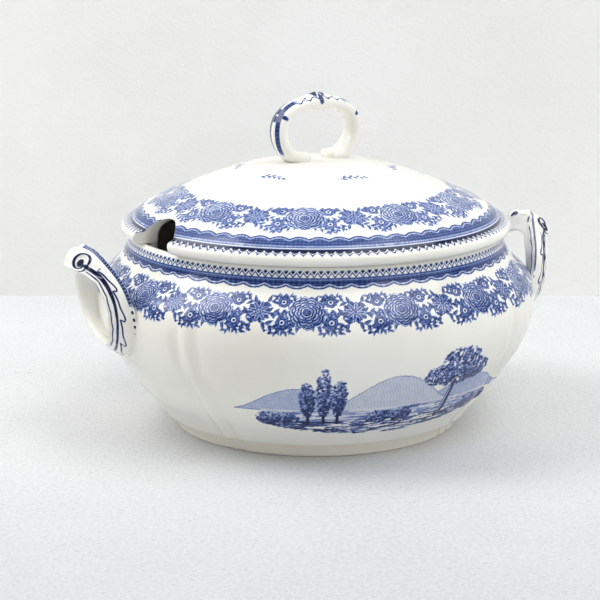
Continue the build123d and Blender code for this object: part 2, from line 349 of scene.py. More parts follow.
# ------------------------------------------------------------------ foot ring
fr_in, fr_o = 83.2, foot_hi[0]
fpf = np.array([(fr_o - 0.1, FOOT_Z + 0.3), (fr_o, FOOT_Z - 0.8), (fr_o - 0.5, 6.4), (91.6, 2.6), (91.3, 1.0), (90.5, 0.2), (89.6, 0.0),
                (86.6, 0.0), (85.4, 0.35), (84.0, 2.2), (fr_in, 4.4), (fr_in, FOOT_Z)])
fpf = resample(cubic(fpf, per=8), 70)
pr = np.linspace(0, TAU, 900, endpoint=False)
wob = np.zeros(900)
for c in CREASES:
    a = np.degrees((pr - c + PI) % TAU - PI)
    wob -= 0.9 * np.exp(-((np.abs(a) - 3.0) / 2.2) ** 2)
outer_w = sstep(86.0, 90.0, fpf[:, 0])[:, None]
RF = fpf[:, 0][:, None] + wob[None, :] * outer_w
XR = np.stack([RF * np.cos(pr), RF * np.sin(pr), fpf[:, 1][:, None] + 0 * pr[None, :]], -1)
vr = XR.reshape(-1, 3)
frf = grid_faces(70, 900, wrap_c=True, flip=False)
# ------------------------------------------------------------------ side handles
# stations from the middle of the top to the middle of the bottom: ridge, outer edge, inner edge
EAR_ST = [((151.4, 0, 123.4), (163.2, 0, 110.8), (146.5, 0, 110.6)), ((148.6, -8.5, 122.4), (161.4, -8.8, 110.4), (145.4, -7.5, 110.0)),
          ((144.8, -18, 118.2), (156.4, -17.2, 108.6), (142.4, -13.8, 107.2)), ((140.9, -27.8, 111.8), (151.9, -25.2, 105.2), (139.4, -21.0, 102.2)),
          ((136.9, -36.9, 103.6), (149.2, -31.2, 98.2), (136.8, -27.4, 95.6)), ((133.6, -41.4, 92), (147.6, -33.6, 89.6), (134.9, -31.0, 87.2)),
          ((131.3, -41.5, 79), (146.0, -32.2, 80.4), (133.2, -30.2, 78.6)), ((129.2, -37.0, 66.4), (144.6, -27.2, 72.4), (131.4, -26.4, 71.0)),
          ((127.6, -24, 56.6), (143.0, -17, 66.4), (129.6, -16.4, 65.4)), ((127.2, 0, 53), (142.2, 0, 64), (129.0, 0, 62.6))]


def build_ear(side):
    st = np.array(EAR_ST, float)
    mir = st[8:0:-1] * np.array([1, -1, 1.0])
    loop = np.vstack([st, mir]).reshape(18, 9)
    D = cubic(loop, closed=True, per=60)
    D = D[:18 * 60]
    mid = (D[:, 0:3] + D[:, 3:6]) / 2
    nt = 720
    ns = 176
    m2 = np.vstack([mid, mid[:1]]); q = np.linspace(0, arclen(m2)[-1], nt, endpoint=False)
    sm = arclen(m2); D2 = np.vstack([D, D[:1]])
    D = np.stack([np.interp(q, sm, D2[:, k]) for k in range(9)], -1)
    total = sm[-1]
    lam = np.where(q > total / 2, q - total, q)                # + toward the -Y side
    R, O, I = D[:, 0:3], D[:, 3:6], D[:, 6:9]
    T = np.roll(mid_(R, O), -1, 0) - np.roll(mid_(R, O), 1, 0)
    T /= np.linalg.norm(T, axis=1)[:, None]
    n = np.cross(T, O - R); n /= np.linalg.norm(n, axis=1)[:, None]
    cen = np.array([140.0, 0.0, 88.0])
    sg = np.sign((n * (mid_(R, O) - cen)).sum(1)); n *= sg[:, None]
    # closed section: ridge, convex face, outer edge, back face, inner edge, inner side
    top = np.exp(-(lam / 15.0) ** 2)[:, None]
    wid = np.linalg.norm(O - R, axis=1)[:, None]
    bulge = 2.4 + 1.4 * top[:, 0:1]
    sec = [R + n * 0.6, R + 0.16 * (O - R) + n * bulge * 0.60, R + 0.36 * (O - R) + n * bulge * 0.95, R + 0.60 * (O - R) + n * bulge * 0.95,
           R + 0.84 * (O - R) + n * bulge * 0.62, O + n * 0.5, O + 0.10 * (I - O) - n * 1.1, O + 0.40 * (I - O) - n * 0.6, O + 0.75 * (I - O) - n * 0.2, I,
           I + 0.35 * (R - I), R - 0.12 * (R - I) * 1.0 - n * 0.8]
    S = np.stack(sec, 1)                                         # nt x 12 x 3
    m = S.shape[1]
    # closed Catmull-Rom in the section
    u = np.linspace(0, m, ns, endpoint=False)
    i0 = np.floor(u).astype(int); f = (u - i0)[None, :, None]
    a, b, c, d = S[:, (i0 - 1) % m], S[:, i0 % m], S[:, (i0 + 1) % m], S[:, (i0 + 2) % m]
    P = 0.5 * (2 * b + (c - a) * f + (2 * a - 5 * b + 4 * c - d) * f ** 2 + (3 * b - a - 3 * c + d) * f ** 3)
    # across the face, 0 at the ridge and 1 at the outer edge
    w = np.clip(u / 5.0, 0, 1) + np.where(u > m - 1, u - m, 0) * 0.2
    w = np.where((u > 5.0) & (u <= m - 1), 2.0, w)
    W = np.broadcast_to(w[None, :], P.shape[:2])
    L = np.broadcast_to(lam[:, None], P.shape[:2])
    face = ((W > -0.25) & (W < 1.3)).astype(float)
    bead = 0.85 * np.exp(-((W - 0.02) / 0.07) ** 2) + 0.75 * np.exp(-((W - 0.97) / 0.06) ** 2) - 0.45 * np.exp(-((W - 0.24) / 0.05) ** 2) - 0.35 * np.exp(-((W - 0.80) / 0.07) ** 2)
    # coil near the top, one each side of the middle, and leafy relief along the edge
    for s_ in (1, -1):
        r = np.hypot((L - s_ * 11.5), (W - 0.66) * wid)
        bead = bead + 1.15 * np.exp(-((r - 5.0) / 1.2) ** 2) + 1.3 * np.exp(-(r / 1.7) ** 2) - 0.5 * np.exp(-((r - 2.7) / 1.0) ** 2)
    al_ = np.abs(L)
    scal = np.abs(np.sin((al_ - 20) * PI / 11.5)) ** 0.7
    on = sstep(16, 22, al_) * sstep(92, 84, al_)
    edge_line = 0.66 + 0.13 * scal
    bead = bead + on * 0.55 * np.exp(-((W - edge_line) / 0.06) ** 2) * face
    bead = bead + on * 0.45 * np.exp(-((W - 0.42) / 0.08) ** 2) * face
    P = P + n[:, None, :] * (bead * face)[..., None] * np.ones((1, 1, 3))
    # small scallops of the outer edge itself
    e = np.exp(-((W - 1.0) / 0.16) ** 2) * face * on * 0.9 * (scal - 0.5)
    dirO = (O - R) / wid
    P = P + dirO[:, None, :] * e[..., None]
    X = P[..., 0]; Y = P[..., 1]; Z = P[..., 2]
    return X, Y, Z, L, W, face, wid, ns, nt


def mid_(a, b):
    return (a + b) / 2


def ink_on_ear(L, W, face, wid):
    al = np.abs(L); mm = W * wid
    ink = np.zeros(L.shape)

    def band(v, c, h, soft=0.30):
        return np.clip((h / 2 - np.abs(v - c)) / soft + 0.5, 0, 1)
    # striped strip along the ridge, running out into dots
    rng = sstep(2, 4, al) * sstep(53, 50, al)
    strip = band(mm, 0.085 * wid, 1.9) * rng
    ticks = 0.5 + 0.5 * np.sin(al * TAU / 1.9)
    ink = np.maximum(ink, strip * (0.42 + 0.50 * sstep(0.35, 0.7, ticks)))
    ink = np.maximum(ink, 0.92 * (band(mm, 0.085 * wid - 1.15, 0.5) + band(mm, 0.085 * wid + 1.15, 0.5)) * rng)
    dd = np.hypot(((al - 53) % 4.0) - 2.0, mm - 0.10 * wid)
    ink = np.maximum(ink, 0.95 * np.clip((0.95 - dd) / 0.3 + 0.5, 0, 1) * (al > 53) * (al < 69))
    # bold line along the face, a thin one beside the opening
    on = sstep(13, 16, al) * sstep(97, 93, al)
    wl = (0.66 + 0.03 * np.sin(al * PI / 31)) * wid
    ink = np.maximum(ink, 0.97 * band(mm, wl, 1.1 + 1.0 * np.exp(-((al - 32) / 18) ** 2)) * on)
    ink = np.maximum(ink, 0.88 * band(mm, 0.84 * wid, 0.7) * sstep(18, 20, al) * sstep(97, 94, al))
    # leafy outline toward the ridge: four small pointed lobes
    p = ((al - 25) / 17.0) % 1.0
    on2 = sstep(24, 26, al) * sstep(95, 92, al)
    tip = sstep(0.45, 1.0, p) ** 1.3
    wl2 = wl - (0.10 + 0.05 * np.sin(p * PI) + 0.15 * tip) * wid
    ink = np.maximum(ink, 0.92 * band(mm, wl2, 0.8) * on2)
    lo_w, hi_w = wl - 0.25 * wid, wl - 0.08 * wid
    pj = (((al - 25) / 17.0 + 0.5) % 1.0 - 0.5) * 17.0 - 0.35 * (hi_w - mm)
    ink = np.maximum(ink, 0.92 * band(pj, -0.4, 0.8) * ((mm > lo_w) & (mm < hi_w)) * on2)
    # coil, drawn bold, with a solid eye
    for s_ in (1, -1):
        dx, dy = (L - s_ * 11.5), (W - 0.66) * wid
        r = np.hypot(dx, dy); th = np.arctan2(dy, dx * s_)
        rr = 2.6 + 3.6 * ((th / TAU) % 1.0)
        sp = np.minimum(np.abs(r - rr), np.abs(r - rr - 3.6))
        ink = np.maximum(ink, 0.96 * np.clip((0.62 - sp) / 0.3 + 0.5, 0, 1) * (r < 6.4) * (r > 2.3))
        ink = np.maximum(ink, 0.97 * np.clip((2.1 - r) / 0.3 + 0.5, 0, 1))
    return ink * face


# ------------------------------------------------------------------ lid handle
G_OUT = [(19.4, 164.6), (25.2, 171.2), (29.4, 179.5), (30.4, 187.9), (28.3, 196.2), (22.0, 203.8), (11.9, 208.4), (0.0, GRIP_TOP)]
G_IN = [(13.2, 171.6), (17.6, 174.4), (21.2, 179.0), (22.5, 184.5), (21.6, 190.5), (16.3, 195.9), (7.0, 197.9), (0.0, 198.1)]


def grip_curves():
    """Centre line of the lid handle, foot to foot."""
    # centre line, right foot tip to left foot tip
    cl_ = [(6.6, 168.9), (11.0, 168.9), (17.0, 169.8), (23.2, 174.4), (27.2, 181.0), (28.1, 187.4), (26.4, 193.9), (20.4, 200.0),
           (10.5, 203.4), (0.0, 204.0)]
    P = np.array(cl_ + [(-x, z) for x, z in reversed(cl_[:-1])])
    D = cubic(P, per=20)
    return D


def build_grip():
    nt = 560
    ns = 130
    D = resample(grip_curves(), nt)
    T = np.gradient(D, axis=0); T /= np.linalg.norm(T, axis=1)[:, None]
    Nn = np.stack([T[:, 1], -T[:, 0]], -1)         # outward in the plane
    cen = np.array([0.0, 187.0])
    flip = np.sign(((D - cen) * Nn).sum(1)); flip[flip == 0] = 1
    k = np.sign(np.median(flip)); Nn *= k
    q = np.linspace(-1, 1, nt)
    aq = np.abs(q)
    half = 3.9 + 1.0 * np.exp(-(q / 0.10) ** 2) + 0.5 * sstep(0.6, 0.85, aq) * (1 - sstep(0.9, 1.0, aq))
    half = half * np.sqrt(np.clip(1 - sstep(0.955, 1.0, aq) ** 2 * 0.93, 0.02, 1))
    dep = 7.4 + 0.7 * sstep(0.55, 0.9, aq)
    dep = dep * np.sqrt(np.clip(1 - sstep(0.955, 1.0, aq) ** 2 * 0.93, 0.02, 1))
    s = np.linspace(0, TAU, ns, endpoint=False)
    p = 2.5
    ex = np.sign(np.cos(s)) * np.abs(np.cos(s)) ** (2 / p)
    ey = np.sign(np.sin(s)) * np.abs(np.sin(s)) ** (2 / p)
    st = arclen(D); lam = st - st[-1] / 2
    inr = half[:, None] * ex[None, :]
    dd = dep[:, None] * ey[None, :]
    # gadroon under the middle of the top, and a rib along the outside
    gad = 0.7 * np.exp(-(lam / 8.5) ** 2)[:, None] * (0.5 + 0.5 * np.cos(lam * TAU / 3.1))[:, None] * sstep(0.2, -0.5, ex)[None, :]
    inr = inr + gad * -1.0
    rib = 0.75 * np.exp(-(ey / 0.28) ** 2)[None, :] * sstep(0.4, 0.9, ex)[None, :] * (1 - sstep(0.62, 0.85, aq))[:, None]
    inr = inr + rib
    # small crest at the crown
    crest = 1.3 * np.exp(-(lam / 6.0) ** 2)[:, None] * sstep(0.3, 0.9, ex)[None, :] * np.exp(-(ey / 0.75) ** 2)[None, :]
    inr = inr + crest - 0.5
    x = D[:, 0][:, None] + Nn[:, 0][:, None] * inr
    z = D[:, 1][:, None] + Nn[:, 1][:, None] * inr
    y = dd
    # feet press into the crown of the lid
    zl = np.interp(np.abs(x), LO[:len(lid_dome), 0], LO[:len(lid_dome), 1])
    z = np.where(z < zl - 1.6, zl - 1.6, z)
    ct, sn_ = math.cos(LID_TURN), math.sin(LID_TURN)
    # plane turned about Z: +x of the plane goes to (cos, sin), its front side faces -Y
    X = x * ct + y * sn_
    Yw = x * sn_ - y * ct
    return X, Yw, z, lam, inr, y, ex, ey, ns, nt

# ------------------------------------------------------------------ printing sheets
AA = 0.34


class Sheet:
    """Ink over a flat sheet measured in mm. x may wrap round."""
    def __init__(self, x0, x1, y0, y1, res, wrap=False):
        self.x0, self.y0, self.res, self.wrap = x0, y0, res, wrap
        self.nx = int(round((x1 - x0) / res)) + (0 if wrap else 1)
        self.ny = int(round((y1 - y0) / res)) + 1
        if wrap:
            self.res = (x1 - x0) / self.nx
        self.ink = np.zeros((self.ny, self.nx))

    def stamp(self, o, rad, fn, ang=0.0, k=1.0):
        r = self.res
        i0, i1 = int((o[0] - rad - self.x0) // r) - 1, int((o[0] + rad - self.x0) // r) + 3
        j0, j1 = max(int((o[1] - rad - self.y0) // r) - 1, 0), min(int((o[1] + rad - self.y0) // r) + 3, self.ny)
        ii = np.arange(i0, i1)
        if not self.wrap:
            ii = ii[(ii >= 0) & (ii < self.nx)]
        if j1 <= j0 or not len(ii):
            return
        jj = np.arange(j0, j1)
        X, Y = np.meshgrid(self.x0 + ii * r - o[0], self.y0 + jj * r - o[1])
        c, s = math.cos(ang), math.sin(ang)
        val, al = fn((X * c + Y * s) / k, (-X * s + Y * c) / k, lambda d: np.clip(0.5 - d * k / AA, 0, 1))
        g = np.ix_(jj, ii % self.nx)
        self.ink[g] = self.ink[g] * (1 - al) + val * al

    def read(self, x, y):
        fx = (np.asarray(x) - self.x0) / self.res
        fy = np.clip((np.asarray(y) - self.y0) / self.res, 0, self.ny - 1.001)
        if self.wrap:
            fx = fx % self.nx
            i = np.floor(fx).astype(int) % self.nx; i2 = (i + 1) % self.nx
        else:
            fx = np.clip(fx, 0, self.nx - 1.001)
            i = np.floor(fx).astype(int); i2 = i + 1
        u = fx - np.floor(fx); j = np.floor(fy).astype(int); v = fy - j
        a = self.ink
        return (a[j, i] * (1 - u) + a[j, i2] * u) * (1 - v) + (a[j + 1, i] * (1 - u) + a[j + 1, i2] * u) * v


class Pen:
    """A place on a sheet with its own direction and size."""
    def __init__(self, sheet, o, a=0.0, k=1.0):
        self.sheet, self.o, self.a, self.k = sheet, np.asarray(o, float), a, k

    def map(self, P):
        P = np.asarray(P, float) * self.k
        c, s = math.cos(self.a), math.sin(self.a)
        return np.stack([P[..., 0] * c - P[..., 1] * s, P[..., 0] * s + P[..., 1] * c], -1) + self.o

    def at(self, x, y, deg=0.0, k=1.0, flip=False):
        return Pen(self.sheet, self.map((x, y)), self.a + math.radians(deg), self.k * k)

    def stamp(self, rad, fn):
        self.sheet.stamp(self.o, rad * self.k, fn, self.a, self.k)


def smooth(P, per=6):
    """Catmull-Rom polyline through the points."""
    P = np.asarray(P, float)
    if len(P) < 3:
        return np.linspace(P[0], P[-1], per + 1)
    Q = np.vstack([2 * P[0] - P[1], P, 2 * P[-1] - P[-2]])
    t = np.linspace(0, 1, per, endpoint=False)[:, None]
    out = []
    for i in range(1, len(Q) - 2):
        a, b, c, d = Q[i - 1], Q[i], Q[i + 1], Q[i + 2]
        out.append(0.5 * (2 * b + (c - a) * t + (2 * a - 5 * b + 4 * c - d) * t ** 2 + (3 * b - a - 3 * c + d) * t ** 3))
    return np.vstack(out + [P[-1:]])


def line(pen, P, w0=0.5, w1=None, val=0.8, per=5):
    Q = pen.map(smooth(P, per)); n = len(Q) - 1
    w = np.linspace(w0, w0 if w1 is None else w1, n + 1) * pen.k
    for i in range(n):
        p, q = Q[i], Q[i + 1]
        L = max(np.hypot(*(q - p)) / 2, 1e-4); wa, wb = w[i], w[i + 1]

        def fn(U, V, cov, L=L, wa=wa, wb=wb):
            t = np.clip(U, -L, L)
            return val, cov(np.hypot(U - t, V) - (wa + (wb - wa) * (t + L) / (2 * L)) / 2)
        pen.sheet.stamp((p + q) / 2, L + max(wa, wb) / 2 + 0.5, fn, math.atan2(q[1] - p[1], q[0] - p[0]))


def dot(pen, x, y, r=0.7, val=0.85):
    pen.at(x, y).stamp(r + 0.5, lambda U, V, cov: (val, cov(np.hypot(U, V) - r)))


def fill_poly(pen, P, val, hatch=0.0, hang=0.6, hper=1.5, edge=None, ew=0.35):
    """Filled outline (polygon), optionally hatched across and outlined."""
    P = np.asarray(P, float)
    c = (P.max(0) + P.min(0)) / 2; rad = np.hypot(*(P.max(0) - P.min(0))) / 2 + 1.5
    Q = P - c

    def fn(U, V, cov):
        d2 = np.full(U.shape, 1e9); ins = np.zeros(U.shape, bool)
        for i in range(len(Q)):
            a, b = Q[i], Q[(i + 1) % len(Q)]
            e = b - a; w0, w1 = U - a[0], V - a[1]
            t = np.clip((w0 * e[0] + w1 * e[1]) / (e @ e + 1e-12), 0, 1)
            d2 = np.minimum(d2, (w0 - t * e[0]) ** 2 + (w1 - t * e[1]) ** 2)
            if a[1] != b[1]:
                cr = (a[1] > V) != (b[1] > V)
                ins ^= cr & (U < (b[0] - a[0]) * (V - a[1]) / (b[1] - a[1]) + a[0])
        d = np.sqrt(d2); d = np.where(ins, -d, d)
        tone = val + 0 * U
        if hatch:
            q = U * math.cos(hang) + V * math.sin(hang)
            tone = tone + hatch * np.sin(q * TAU / hper + 0.8 * np.sin(V * 0.7 + U * 0.31))
        if edge is not None:
            tone = np.where(d > -ew, edge, tone)
        return np.clip(tone, 0, 1), cov(d)
    pen.at(c[0], c[1]).stamp(rad, fn)


def leaf(pen, L, W, val=0.60, bend=0.0, cut=0, big=False):
    def fn(U, V, cov):
        u = np.clip(U / L, 0, 1)
        v = V - bend * L * np.sin(PI * u)
        h = W / 2 * np.sin(PI * u ** 0.85) ** 0.9 * (1 - 0.15 * u)
        if cut:
            h = h * (1 - 0.34 * np.abs(np.sin(u * PI * cut)) ** 1.3)
        d = np.maximum(np.abs(v) - h, np.maximum(-U, U - L))
        tone = np.where(v > 0, val + 0.16, val - 0.04)
        if big:
            vein = np.sin((u * L - np.abs(v) * 0.9) * TAU / 2.1)
            tone = tone - 0.30 * sstep(0.45, 0.9, vein) * sstep(0.1, 0.5, np.abs(v))
            tone = np.where(np.abs(v) < 0.26, 0.10, tone)
            tone = np.where(d > -0.4, 0.86, tone)
        else:
            tone = np.where((np.abs(v) < 0.15) & (u < 0.85), 0.34, tone)
        return tone, cov(d)
    pen.at(L / 2, 0).sheet.stamp(pen.map((L / 2, 0)), (max(L / 2, W) + 0.8 + abs(bend) * L) * pen.k,
                                lambda U, V, cov: fn(U + L / 2, V, cov), pen.a, pen.k)


def rose(pen, R, ph=0.0, rings=6, pale=0.0):
    """Full-blown rose: rings of rounded petals, each pale at its rim and dark in its fold."""
    def fn(U, V, cov):
        r = np.hypot(U, V * 1.04); th = np.arctan2(V, U)
        tone = np.zeros(U.shape) + 0.6
        E = []
        for k in range(rings, 0, -1):
            m = 4 + k + (k % 2)
            sc_ = np.abs(np.cos(m * (th + ph * k + 0.10 * np.sin(3 * th + k)) / 2 + k * 1.7))
            E.append(R * (k / rings) ** 0.92 * (1 + 0.085 * (sc_ ** 0.6 - 0.72) * 2 + 0.02 * np.sin(2 * th + k * 2.1)))
        for n, k in enumerate(range(rings, 0, -1)):
            e = E[n]; e_in = E[n + 1] if k > 1 else 0 * r
            t = np.clip((r - e_in) / np.maximum(e - e_in, 1e-3), 0, 1)
            shade = 0.86 - 0.80 * sstep(0.05, 0.75, t) + 0.10 * np.sin(th * (22 + 3 * k)) * (1 - t) + 0.13 * np.cos(th + 0.8) * (1 - 0.5 * t)
            shade = np.where(e - r < 0.32, 0.74, shade)
            tone = np.where(r < e, shade, tone)
        c = R * 0.15
        dd = np.hypot(r - c * 0.62, c * 0.62 * (((th * 6 / TAU) % 1.0) - 0.5) * TAU / 6)
        tone = np.where(r < c, np.where((dd < c * 0.24) | (r < c * 0.2), 0.9, 0.30), tone)
        return np.clip(tone * (1 - pale), 0.03, 0.95), cov(r - E[0])
    pen.stamp(R * 1.16 + 0.6, fn)


def starflower(pen, R, n=8, val=0.55, ph=0.0):
    def fn(U, V, cov):
        r = np.hypot(U, V); th = np.arctan2(V, U)
        tone = 0 * r + val; D = np.full(r.shape, 9.0)
        for row, (RR, off, vv) in enumerate(((1.0, 0.5, val + 0.12), (0.90, 0.0, val - 0.10))):
            a = ((th + ph) * n / TAU + off + 0.5) % 1.0 - 0.5
            a = a * TAU / n
            x, y = r * np.cos(a), r * np.sin(a)
            u = np.clip(x / (R * RR), 0, 1)
            h = R * 0.235 * np.sin(PI * u ** 1.25) ** 0.75 * (7.2 / n)
            d = np.maximum(np.abs(y) - h, x - R * RR)
            t2 = vv + 0.22 * (1 - u) * 1.2
            t2 = np.where(np.abs(y) < 0.16, 0.80, t2)
            t2 = np.where(np.abs(np.abs(y) - h * 0.55) < 0.16, vv - 0.28, t2)
            t2 = np.where(d > -0.30, 0.88, t2)
            tone = np.where(d < 0, t2, tone); D = np.minimum(D, d)
        c = R * 0.27
        ring = np.where(r > c * 0.82, 0.85, 0.08)
        dots = (np.hypot(r - c * 0.48, c * 0.48 * (((th * 6 / TAU) % 1.0) - 0.5) * TAU / 6) < c * 0.19) | (r < c * 0.18)
        tone = np.where(r < c, np.where(dots, 0.9, ring), tone)
        return np.clip(tone, 0, 1), cov(np.minimum(D, r - c))
    pen.stamp(R + 0.8, fn)


def floret(pen, R, n=6, val=0.45, ph=0.0, eye=True):
    """Small round flower with a scalloped edge."""
    def fn(U, V, cov):
        r = np.hypot(U, V); th = np.arctan2(V, U)
        e = R * (1 - 0.14 * np.abs(np.sin(n * (th + ph) / 2 + 0.4)) ** 1.5)
        t = r / np.maximum(e, 1e-3)
        tone = val + 0.28 * (1 - t) + 0.12 * np.sin(th * n * 3)
        tone = np.where(np.abs(np.sin(n * (th + ph) / 2 + 0.4)) > 0.93, 0.72, tone)
        tone = np.where(e - r < 0.34, 0.84, tone)
        if eye:
            tone = np.where(r < R * 0.50, 0.86, tone)
            tone = np.where(r < R * 0.40, 0.08, tone)
            tone = np.where(r < R * 0.19, 0.86, tone)
        return np.clip(tone, 0, 1), cov(r - e)
    pen.stamp(R + 0.6, fn)


def sprig(pen, P, n=7, L=5.0, W=2.0, val=0.66, w=0.45, start=0.12, spread=48, end=True, rs=None):
    """Curved stem with leaves on both sides, smaller toward the tip."""
    C = smooth(P, 8); line(pen, P, w, w * 0.5, 0.78, per=6)
    s = arclen(C)
    for i in range(n):
        q = start + (1 - start) * i / max(n - 0.5, 1)
        x, y = at(C, q * s[-1])
        x2, y2 = at(C, min(q + 0.06, 1.0) * s[-1]); x1, y1 = at(C, max(q - 0.06, 0) * s[-1])
        a = math.degrees(math.atan2(y2 - y1, x2 - x1)); k = 1 - 0.42 * q
        sg = 1 if i % 2 else -1
        leaf(pen.at(x, y, a + sg * spread), L * k, W * k, val, bend=-0.06 * sg)
    if end:
        x, y = C[-1]; a = math.degrees(math.atan2(C[-1][1] - C[-3][1], C[-1][0] - C[-3][0]))
        leaf(pen.at(x, y, a), L * 0.62, W * 0.6, val)


def berries(pen, P, n=5, r=0.72, side=2.6, val=0.82):
    C = smooth(P, 8); line(pen, P, 0.38, 0.25, 0.72, per=6)
    s = arclen(C)
    for i in range(n):
        q = 0.3 + 0.7 * i / max(n - 1, 1)
        x, y = at(C, q * s[-1]); x2, y2 = at(C, min(q + 0.05, 1.0) * s[-1]); x1, y1 = at(C, max(q - 0.05, 0) * s[-1])
        a = math.atan2(y2 - y1, x2 - x1) + (0.85 if i % 2 else -0.85) * (q < 1)
        e = (x + side * math.cos(a), y + side * math.sin(a))
        line(pen, [(x, y), e], 0.26, 0.26, 0.7, per=2)
        dot(pen, e[0], e[1], r, val)


def spiral(pen, R, turns=1.4, w=0.7, val=0.0, sg=1, a0=0.0, tail=()):
    t = np.linspace(0, 1, int(16 * turns) + 4)
    rr = R * (1 - 0.86 * t)
    P = np.stack([rr * np.cos(a0 + sg * t * turns * TAU), rr * np.sin(a0 + sg * t * turns * TAU)], -1)
    P = np.vstack([np.asarray(tail, float).reshape(-1, 2), P])
    line(pen, P, w, w * 0.8, val, per=2)


def beaded(pen, R, sg=1):
    """Crescent with a beaded edge."""
    pen.stamp(R + 0.6, lambda U, V, cov: (np.where(R - np.hypot(U, V) < 0.35, 0.9, 0.70), cov(np.hypot(U, V) - R)))
    for i in range(13):
        a = -2.7 + i * 0.37
        dot(pen, sg * R * 0.78 * math.sin(a), -R * 0.78 * math.cos(a), 0.36, 0.05)
    spiral(pen, R * 0.5, 1.1, 0.5, 0.08, sg, 1.5)


# ------------------------------------------------------------------ bowl borders and garland
R_G = 131.0
PERIOD = math.radians(120.0)
C_BOWL = math.radians(269.8)


def hatch_patch(pen, rx, ry, val=0.5, per=1.5, amp=0.12):
    def fn(U, V, cov):
        q = np.hypot(U / rx, V / ry) + 0.10 * np.sin(U * 0.9) * np.sin(V * 0.8 + 1)
        tone = val + amp * np.sin(V * TAU / per + 0.7 * np.sin(U * 0.45)) + 0.06 * np.sin(U * 1.7 + V)
        return np.clip(tone, 0, 1), sstep(1.0, 0.82, q)
    pen.stamp(max(rx, ry) * 1.2, fn)


def lobes(p, L, val=0.62, per=1.5):
    for x, y, r in L:
        p.at(x, y).stamp(r * 1.1 + 0.6, lambda U, V, cov, r=r: (np.clip(val + 0.10 * np.sin((V + y) * TAU / per), 0, 1),
                                                              cov(np.hypot(U, V) - r * (1 + 0.05 * np.sin(9 * np.arctan2(V, U) + r)))))


def unit(Q, rs, step, s0, R):
    """One repeat of a plain flower border: rose, star flower, four small flowers, stems and leaves."""
    for d0 in (0.0, step / 2):
        for sg in (-1, 1):
            for dy, a in ((5.0, 0.35), (0.0, -0.1), (-5.5, -0.45)):
                sprig(Q(d0, s0 - dy), [(0, 0), (sg * 9, 9 * a), (sg * 18, 15 * a)], n=8, L=5.8, W=2.3)
    for rot in (32, 148, 212, 328):
        leaf(Q(0.0, s0, rot).at(R * 0.8, 0), 11.0, 5.4, 0.60, bend=0.07, cut=3, big=True)
    for sg in (-1, 1):
        berries(Q(sg * step * 0.25, s0 + 7), [(0, 0), (sg * 3, -3), (sg * 7, -4)], n=5)
        for dy in (6.6, -6.6):
            floret(Q(sg * step * 0.25, s0 + dy), R * 0.36, 7, 0.42, 0.3)
    starflower(Q(step / 2, s0), R * 0.68, 8, 0.50, 0.2)
    rose(Q(0.0, s0), R, 0.3, rings=7)


def paint_bowl_garland():
    W = R_G * PERIOD
    sh = Sheet(0, W, -52, 0, 0.2, wrap=True)
    rs = np.random.RandomState(5)

    def P(deg, s, rot=0.0, k=1.0):
        return Pen(sh, ((math.radians(deg) * R_G) % W, -s), math.radians(rot), k)
    x = np.arange(sh.nx) * sh.res; y = -(sh.y0 + np.arange(sh.ny) * sh.res)
    low = 11.0 + 1.8 * np.abs(np.sin(x * PI * 20 / W))
    S, LOW = y[:, None], low[None, :]
    g = 0.70 + 0.13 * np.sin(S * TAU / 1.7) + 0.05 * np.sin(x * 1.9)[None, :]
    g = np.where(np.abs(S - 7.2) < 0.26, 0.35, g)
    g = np.where(np.abs(S - LOW + 1.3) < 0.36, 0.12, g)
    g = np.where(np.abs(S - LOW) < 0.35, 0.85, g)
    sh.ink = np.where((S > 6.0) & (S < LOW), np.clip(g, 0, 1), 0.0)
    for k in range(5):
        unit(lambda d, s, rot=0.0, kk=1.0, k=k: P(d + 24.0 * k, s, rot, kk), rs, 24.0, 28.0, 11.0)
    return sh


def rim_border(s, phi, s0, n, flip=1.0, scale=1.0):
    """Row of dark teeth, a white zigzag and a fine wavy line. Returns ink."""
    ph = (phi * n / TAU) % 1.0
    tri = 1 - 4 * np.abs(ph - 0.5)                    # -1..1
    wave = s0 + flip * (2.4 + 1.05 * tri) * scale
    q = (s - wave) * flip / scale
    base_ = (s - s0) * flip / scale
    w = 0.42 / scale

    def band(v, a, b):
        return np.clip((v - a) / w + 0.5, 0, 1) * np.clip((b - v) / w + 0.5, 0, 1)
    teeth = band(q, -9, -0.42) * band(base_, 0.35, 9)
    fine = band(q, 0.55, 1.25)
    return np.clip(0.95 * teeth + 0.80 * fine * (1 - teeth), 0, 1)


# ------------------------------------------------------------------ landscape
R_L = 128.0


def clump(pen, rs, rx, ry, n, val=0.6, size=1.5, dark=0.25, light=(-0.5, 0.8)):
    """Foliage: a broken dark ground with small lit lumps over it."""
    under = val > 0.3
    m = int(n * 0.7) if under else 0
    for i in range(m + int(n * 1.35)):
        first = i < m
        a = rs.uniform(0, TAU); q = math.sqrt(rs.uniform(0, 1)) ** 0.9
        x, y = rx * q * math.cos(a), ry * q * math.sin(a)
        r = size * rs.uniform(0.55, 1.1) * (1 - 0.35 * q) * (1.12 if first else 0.78)
        sh_ = (x / rx * light[0] + y / ry * light[1])
        if first:
            v = min(val + 0.20, 0.9)
        else:
            v = np.clip(val - 0.14 - 0.24 * sh_ + rs.uniform(-dark, dark) * 0.75, 0.10, 0.90)

        def fn(U, V, cov, r=r, v=v, ph=rs.uniform(0, 6), first=first):
            th = np.arctan2(V, U)
            d = np.hypot(U, V) - r * (1 + 0.16 * np.sin(4 * th + ph) + 0.08 * np.sin(7 * th + 2 * ph))
            t = v + (0 if first else 0.26 * sstep(-0.5, -0.05, d) - 0.20 * sstep(-0.3, 0.9, V / r))
            return np.clip(t + 0 * U, 0.05, 0.95), cov(d) * 0.97
        pen.at(x, y).stamp(r * 1.3 + 0.4, fn)


